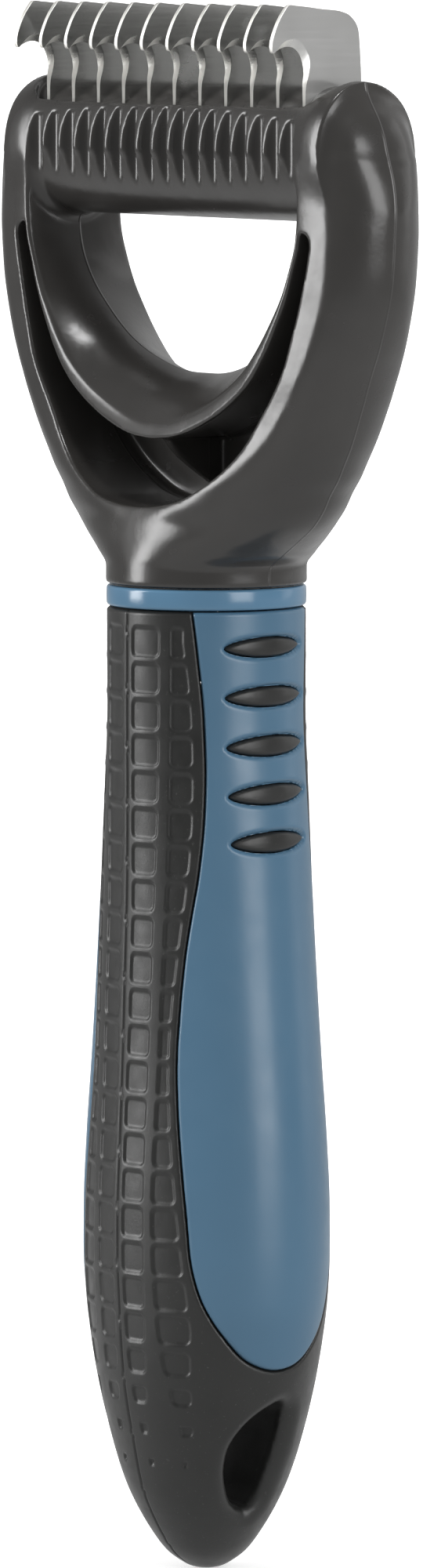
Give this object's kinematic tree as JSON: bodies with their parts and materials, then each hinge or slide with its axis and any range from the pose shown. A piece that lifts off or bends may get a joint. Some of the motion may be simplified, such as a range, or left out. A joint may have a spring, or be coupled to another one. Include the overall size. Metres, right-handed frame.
{
  "type": "undercoat rake",
  "caption": "Pet-grooming undercoat rake: hooked steel blades on a notched bar, open yoke head, blue handle with a textured soft grip.",
  "frame": {"origin": "lowest point of the grip end, on the handle's axis", "axes": "+Z along the handle towards the blades; +X along the row of blades; the hooked blade tips point to -Y"},
  "size_m": [0.0714, 0.0274, 0.1909],
  "materials": {
    "head_plastic": "glossy charcoal moulded ABS with faint orange peel",
    "blade_steel": "polished stainless steel with ground edges",
    "rod_steel": "drawn steel rod",
    "ring_plastic": "glossy blue plastic",
    "core_plastic": "satin blue plastic",
    "soft_rubber": "matte black soft grip rubber"
  },
  "bodies": {
    "root": {"head_frame": "head_plastic", "blade_01": "blade_steel", "blade_02": "blade_steel", "blade_03": "blade_steel", "blade_04": "blade_steel", "blade_05": "blade_steel", "blade_06": "blade_steel", "blade_07": "blade_steel", "blade_08": "blade_steel", "blade_09": "blade_steel", "blade_10": "blade_steel", "blade_11": "blade_steel", "blade_rod": "rod_steel", "collar_ring": "ring_plastic", "handle_core": "core_plastic", "soft_grip": "soft_rubber", "grip_pad_left_1": "soft_rubber", "grip_pad_left_2": "soft_rubber", "grip_pad_left_3": "soft_rubber", "grip_pad_left_4": "soft_rubber", "grip_pad_left_5": "soft_rubber", "grip_pad_right_1": "soft_rubber", "grip_pad_right_2": "soft_rubber", "grip_pad_right_3": "soft_rubber", "grip_pad_right_4": "soft_rubber", "grip_pad_right_5": "soft_rubber"}
  },
  "joints": []
}
